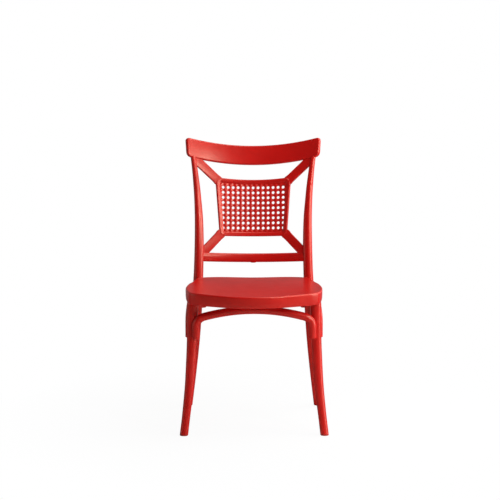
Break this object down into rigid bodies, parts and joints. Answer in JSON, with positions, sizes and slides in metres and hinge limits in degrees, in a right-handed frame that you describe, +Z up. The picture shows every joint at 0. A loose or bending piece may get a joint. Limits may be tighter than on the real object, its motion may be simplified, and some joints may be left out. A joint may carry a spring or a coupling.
{
  "type": "dining chair",
  "caption": "Rigid moulded plastic dining chair with a rounded shell seat, splayed legs, bent braces, a curved crest and an X back around a perforated cane-pattern panel",
  "frame": {"origin": "on the floor, under the middle of the overall width and depth", "axes": "+Z up, the chair faces -Y, +X across it"},
  "size_m": [0.4726, 0.5358, 0.905],
  "materials": {
    "red_plastic": "satin",
    "glide_plastic": "matte",
    "screw_steel": "plain"
  },
  "bodies": {
    "root": {"seat": "red_plastic", "front_leg_right": "red_plastic", "front_leg_left": "red_plastic", "rear_post_right": "red_plastic", "rear_post_left": "red_plastic", "crest_rail": "red_plastic", "lower_back_rail": "red_plastic", "cane_back_panel": "red_plastic", "back_arm_upper_right": "red_plastic", "back_arm_upper_left": "red_plastic", "back_arm_lower_right": "red_plastic", "back_arm_lower_left": "red_plastic", "front_brace": "red_plastic", "rear_brace": "red_plastic", "side_brace_right": "red_plastic", "side_brace_left": "red_plastic", "foot_glide_front_right": "glide_plastic", "foot_glide_front_left": "glide_plastic", "foot_glide_rear_right": "glide_plastic", "foot_glide_rear_left": "glide_plastic", "seat_screw_front_right": "screw_steel", "seat_screw_front_left": "screw_steel", "seat_screw_rear_right_1": "screw_steel", "seat_screw_rear_right_2": "screw_steel", "seat_screw_rear_left_1": "screw_steel", "seat_screw_rear_left_2": "screw_steel"}
  },
  "joints": []
}
